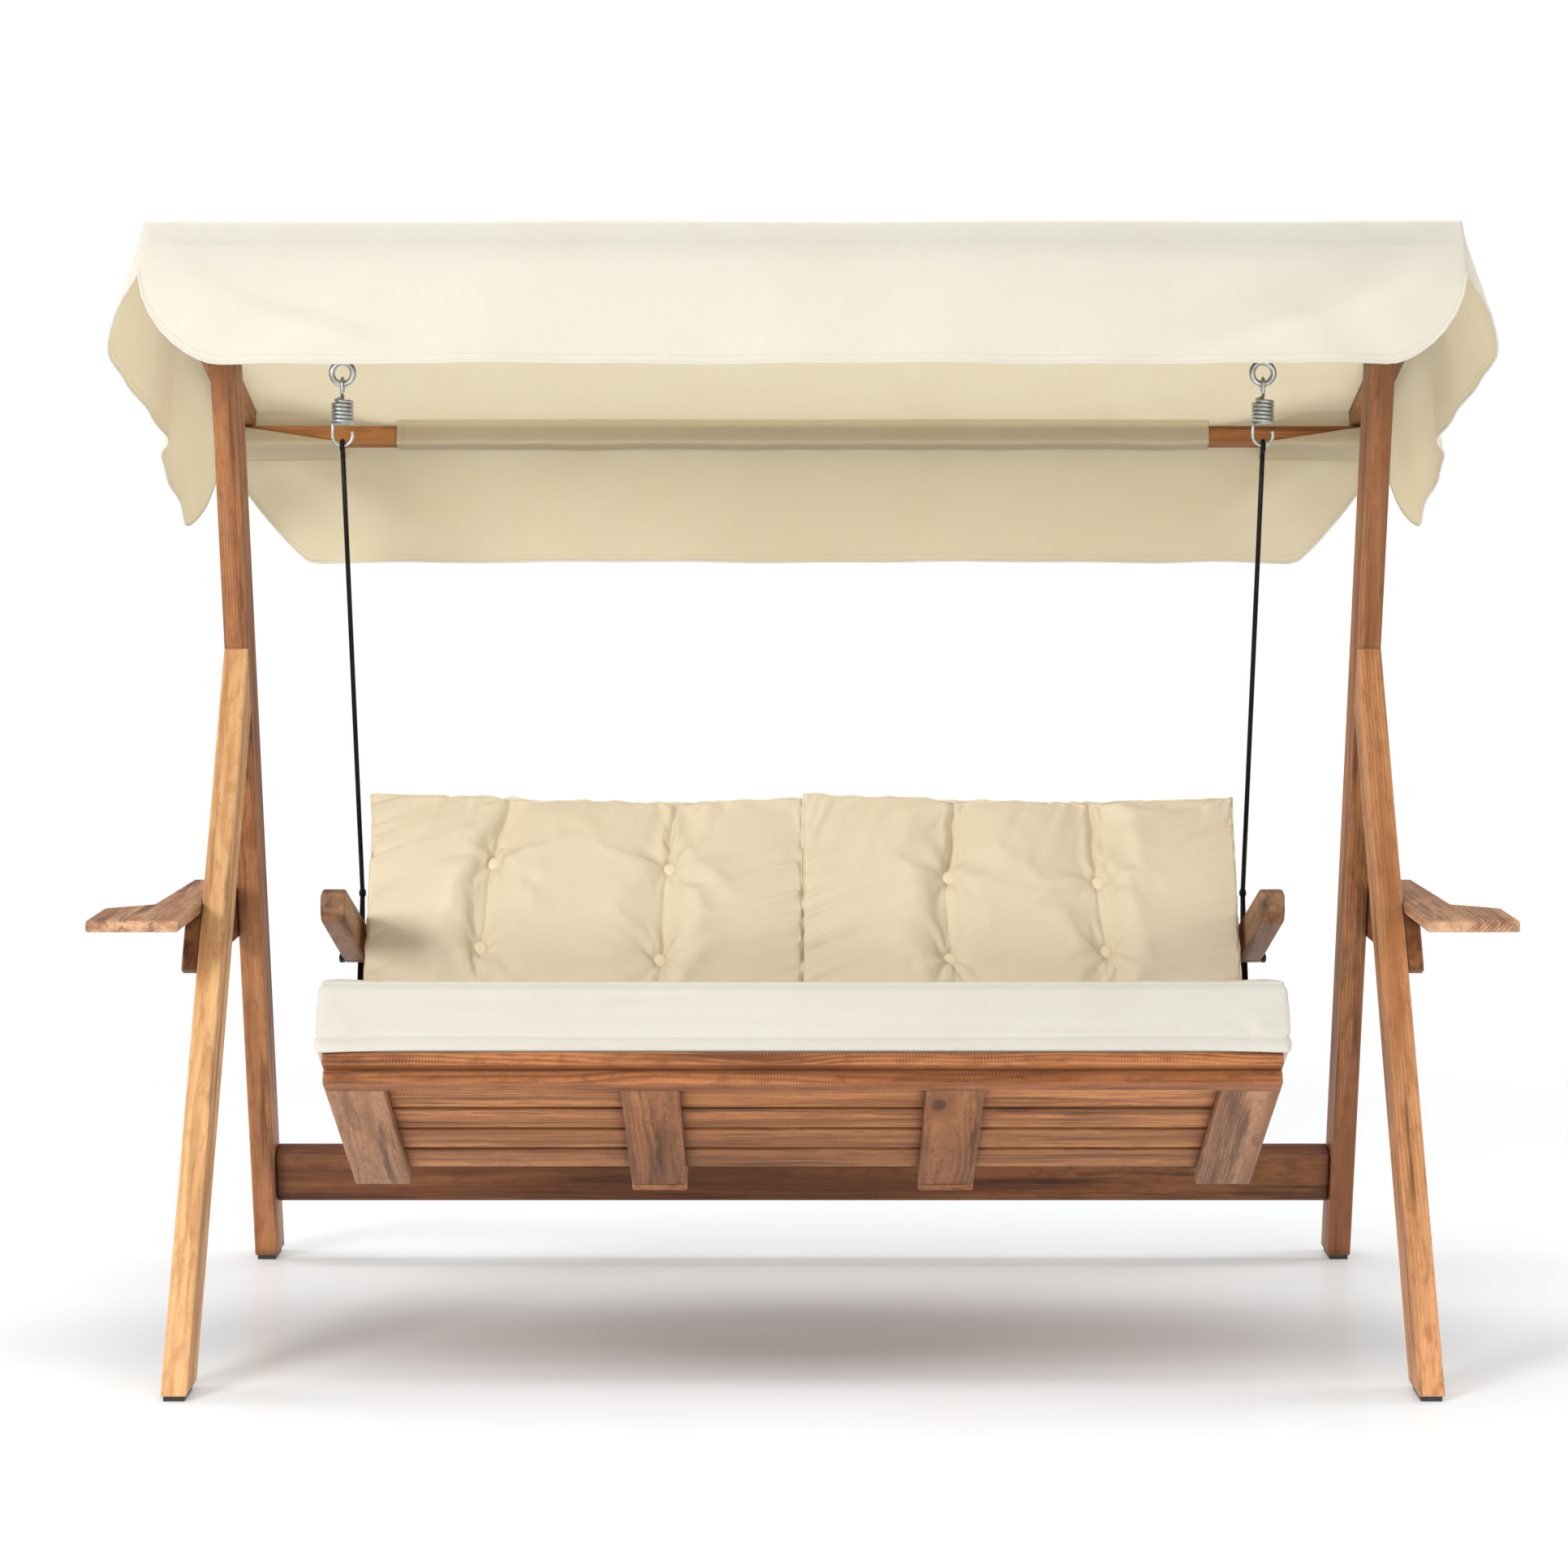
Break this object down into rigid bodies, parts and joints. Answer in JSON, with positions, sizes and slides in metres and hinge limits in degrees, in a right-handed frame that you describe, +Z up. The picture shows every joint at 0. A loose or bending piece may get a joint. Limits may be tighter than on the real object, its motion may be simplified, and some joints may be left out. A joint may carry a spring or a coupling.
{
  "type": "canopy swing bench",
  "caption": "Timber garden swing bench hung on springs from an A-frame stand, with a slatted reclined seat, cushions, side trays and a tilting fabric canopy.",
  "frame": {"origin": "on the floor, in the middle of the four feet", "axes": "+Z up; -Y is the side a sitter faces; +X is to the right of someone looking at the seat from the front"},
  "size_m": [2.204, 1.2087, 1.778],
  "materials": {
    "front_leg_timber": "satin",
    "frame_timber": "satin",
    "rail_timber": "satin",
    "tray_timber": "matte",
    "slat_timber": "matte",
    "bearer_timber": "matte",
    "arm_timber": "satin",
    "canopy_fabric": "matte",
    "seat_fabric": "matte",
    "back_fabric": "matte",
    "zinc_steel": "satin",
    "black_steel": "satin",
    "black_plastic": "matte",
    "glide_plastic": "matte"
  },
  "bodies": {
    "stand": {"front_leg_right": "front_leg_timber", "front_leg_left": "front_leg_timber", "rear_post_right": "frame_timber", "rear_post_left": "frame_timber", "side_rail_right": "rail_timber", "side_rail_left": "rail_timber", "side_tray_right": "tray_timber", "side_tray_left": "tray_timber", "front_glide_right": "glide_plastic", "front_glide_left": "glide_plastic", "rear_glide_right": "glide_plastic", "rear_glide_left": "glide_plastic", "eye_nut_right": "zinc_steel", "eye_nut_left": "zinc_steel", "rear_crossbar": "rail_timber", "main_beam": "frame_timber"},
    "canopy": {"rafter_right": "frame_timber", "rafter_left": "frame_timber", "tilt_knob_right": "black_plastic", "tilt_knob_left": "black_plastic", "canopy_front_bar": "frame_timber", "canopy_rear_bar": "frame_timber", "canopy_cover": "canopy_fabric"},
    "springs": {"spring_right": "zinc_steel", "spring_left": "zinc_steel"},
    "bench": {"seat_slat_1": "slat_timber", "seat_slat_2": "slat_timber", "seat_slat_3": "slat_timber", "seat_slat_4": "slat_timber", "seat_slat_5": "slat_timber", "seat_front_batten": "slat_timber", "back_slat_1": "slat_timber", "back_slat_2": "slat_timber", "back_slat_3": "slat_timber", "back_slat_4": "slat_timber", "back_slat_5": "slat_timber", "back_side_board_right": "slat_timber", "back_side_board_left": "slat_timber", "back_upright_1": "slat_timber", "back_upright_2": "slat_timber", "seat_bearer_1": "bearer_timber", "seat_bearer_2": "bearer_timber", "seat_bearer_3": "bearer_timber", "seat_bearer_4": "bearer_timber", "armrest_right": "arm_timber", "armrest_left": "arm_timber", "seat_cushion": "seat_fabric", "back_cushion_right": "back_fabric", "back_cushion_left": "back_fabric", "hanger_rod_right": "black_steel", "hanger_rod_left": "black_steel", "hanger_bolt_lower_right": "black_plastic", "hanger_bolt_lower_left": "black_plastic", "hanger_bolt_upper_right": "black_plastic", "hanger_bolt_upper_left": "black_plastic", "arm_bolt_front_right": "black_plastic", "arm_bolt_front_left": "black_plastic", "arm_bolt_rear_right": "black_plastic", "arm_bolt_rear_left": "black_plastic"}
  },
  "joints": [
    {"name": "swing", "type": "hinge", "parent": "stand", "child": "springs", "pos_m": [0, 0, 1.5285], "axis": [1, 0, 0], "range_deg": [-20, 20]},
    {"name": "spring_bounce", "type": "slide", "parent": "springs", "child": "bench", "axis": [0, 0, -1], "range_m": [0, 0.03], "stiffness_N_per_m": 70000, "springref_m": -0.006, "deforming": ["spring_right", "spring_left"]},
    {"name": "canopy_tilt", "type": "hinge", "parent": "stand", "child": "canopy", "pos_m": [0, -0.0085, 1.614], "axis": [1, 0, 0], "range_deg": [-5, 10]}
  ]
}
